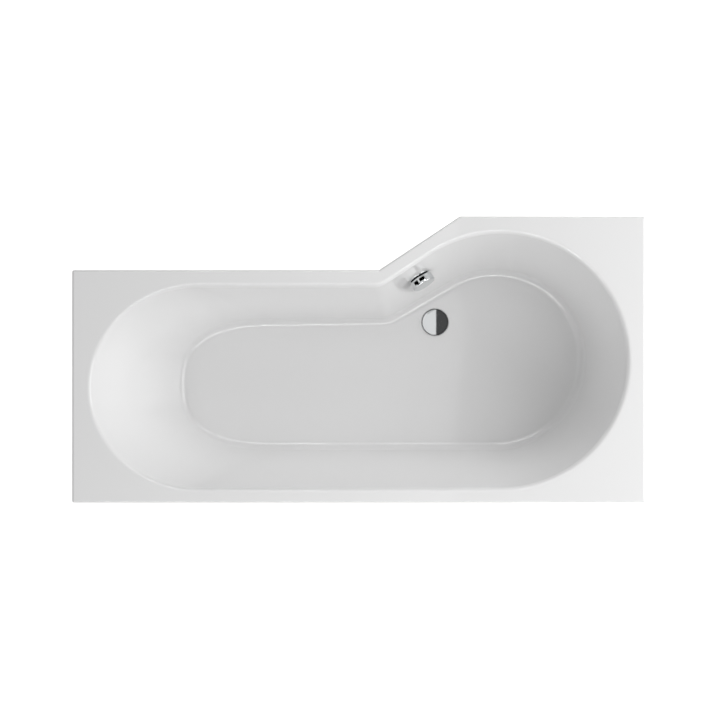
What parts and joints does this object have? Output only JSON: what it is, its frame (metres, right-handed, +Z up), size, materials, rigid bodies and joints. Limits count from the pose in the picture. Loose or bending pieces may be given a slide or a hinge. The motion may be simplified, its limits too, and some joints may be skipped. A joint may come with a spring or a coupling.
{
  "type": "p shaped shower bath",
  "caption": "Acrylic bath with a widened round shower end, a diagonal front and a sloped backrest, on a steel cradle with screw feet, pop-up waste and rotary overflow.",
  "frame": {"origin": "on the floor under the middle of the bath's 1600 by 800 mm outline", "axes": "+X along the length towards the shower end, +Y from the wall side to the front, +Z up"},
  "size_m": [1.6, 0.8, 0.56],
  "materials": {
    "acrylic": "white vacuum-formed acrylic, glossy",
    "glass_fibre": "sprayed glass fibre and resin, rough",
    "chipboard": "chipboard",
    "timber": "sawn softwood",
    "galvanised": "galvanised sheet steel",
    "zinc": "zinc plated",
    "black_nylon": "moulded",
    "chrome": "polished chrome plate",
    "stainless": "drawn stainless steel",
    "rubber": "moulded",
    "white_plastic": "moulded polypropylene",
    "cable_sheath": "extruded"
  },
  "bodies": {
    "root": {"acrylic_shell": "acrylic", "fibreglass_backing": "glass_fibre", "base_board": "chipboard", "batten_wall": "timber", "batten_head": "timber", "batten_narrow": "timber", "batten_diagonal": "timber", "batten_wide": "timber", "batten_foot": "timber", "cradle_rail_head": "galvanised", "cradle_rail_foot": "galvanised", "centre_foot_bracket": "galvanised", "cradle_screws": "zinc", "leg_nuts": "zinc", "wall_bracket_head": "galvanised", "wall_bracket_foot": "galvanised", "wall_bracket_screws": "zinc", "overflow_ring": "chrome", "overflow_seal": "rubber", "overflow_body": "white_plastic", "pipe_seal_top": "rubber", "overflow_nut_top": "white_plastic", "overflow_pipe": "white_plastic", "pipe_seal_bottom": "rubber", "overflow_nut_bottom": "white_plastic", "overflow_bend": "white_plastic", "branch_seal": "rubber", "branch_nut": "white_plastic", "cable_sheath": "cable_sheath", "cable_wire": "stainless", "waste_flange": "chrome", "waste_top_seal": "rubber", "waste_bottom_seal": "rubber", "waste_body": "white_plastic", "lever_pin": "stainless", "trap_nut": "white_plastic", "trap_washer": "rubber", "trap_body": "white_plastic", "cleaning_plug": "white_plastic", "trap_outlet_seal": "rubber", "trap_outlet_nut": "white_plastic"},
    "knob": {"overflow_knob": "chrome", "knob_spindle": "stainless"},
    "plug": {"plug_cover": "chrome", "plug_stem": "stainless", "plug_seal": "rubber"},
    "lever": {"lift_lever": "stainless"},
    "foot_head_wall": {"leg_stud_head_wall": "zinc", "foot_pad_head_wall": "black_nylon"},
    "foot_head_front": {"leg_stud_head_front": "zinc", "foot_pad_head_front": "black_nylon"},
    "foot_foot_wall": {"leg_stud_foot_wall": "zinc", "foot_pad_foot_wall": "black_nylon"},
    "foot_foot_front": {"leg_stud_foot_front": "zinc", "foot_pad_foot_front": "black_nylon"},
    "foot_centre": {"leg_stud_centre": "zinc", "foot_pad_centre": "black_nylon"}
  },
  "joints": [
    {"name": "knob_turn", "type": "hinge", "parent": "root", "child": "knob", "pos_m": [0.17198, 0.23481, 0.41], "axis": [0.5156, -0.8252, 0.2304], "range_deg": [0, 100]},
    {"name": "plug_lift", "type": "slide", "parent": "root", "child": "plug", "axis": [0, 0, 1], "range_m": [0, 0.0121]},
    {"name": "lever_swing", "type": "hinge", "parent": "root", "child": "lever", "pos_m": [0.20265, 0.10004, 0.1252], "axis": [0.398, -0.9174, 0], "range_deg": [0, 30.2]},
    {"name": "foot_head_wall_height", "type": "slide", "parent": "root", "child": "foot_head_wall", "axis": [0, 0, 1], "range_m": [-0.012, 0.008]},
    {"name": "foot_head_front_height", "type": "slide", "parent": "root", "child": "foot_head_front", "axis": [0, 0, 1], "range_m": [-0.012, 0.008]},
    {"name": "foot_foot_wall_height", "type": "slide", "parent": "root", "child": "foot_foot_wall", "axis": [0, 0, 1], "range_m": [-0.012, 0.008]},
    {"name": "foot_foot_front_height", "type": "slide", "parent": "root", "child": "foot_foot_front", "axis": [0, 0, 1], "range_m": [-0.012, 0.008]},
    {"name": "foot_centre_height", "type": "slide", "parent": "root", "child": "foot_centre", "axis": [0, 0, 1], "range_m": [-0.012, 0.008]}
  ],
  "couplings": [
    {"joint": "plug_lift", "follows": "knob_turn", "m_per_rad": 0.00687},
    {"joint": "lever_swing", "follows": "knob_turn", "ratio": 0.3}
  ]
}
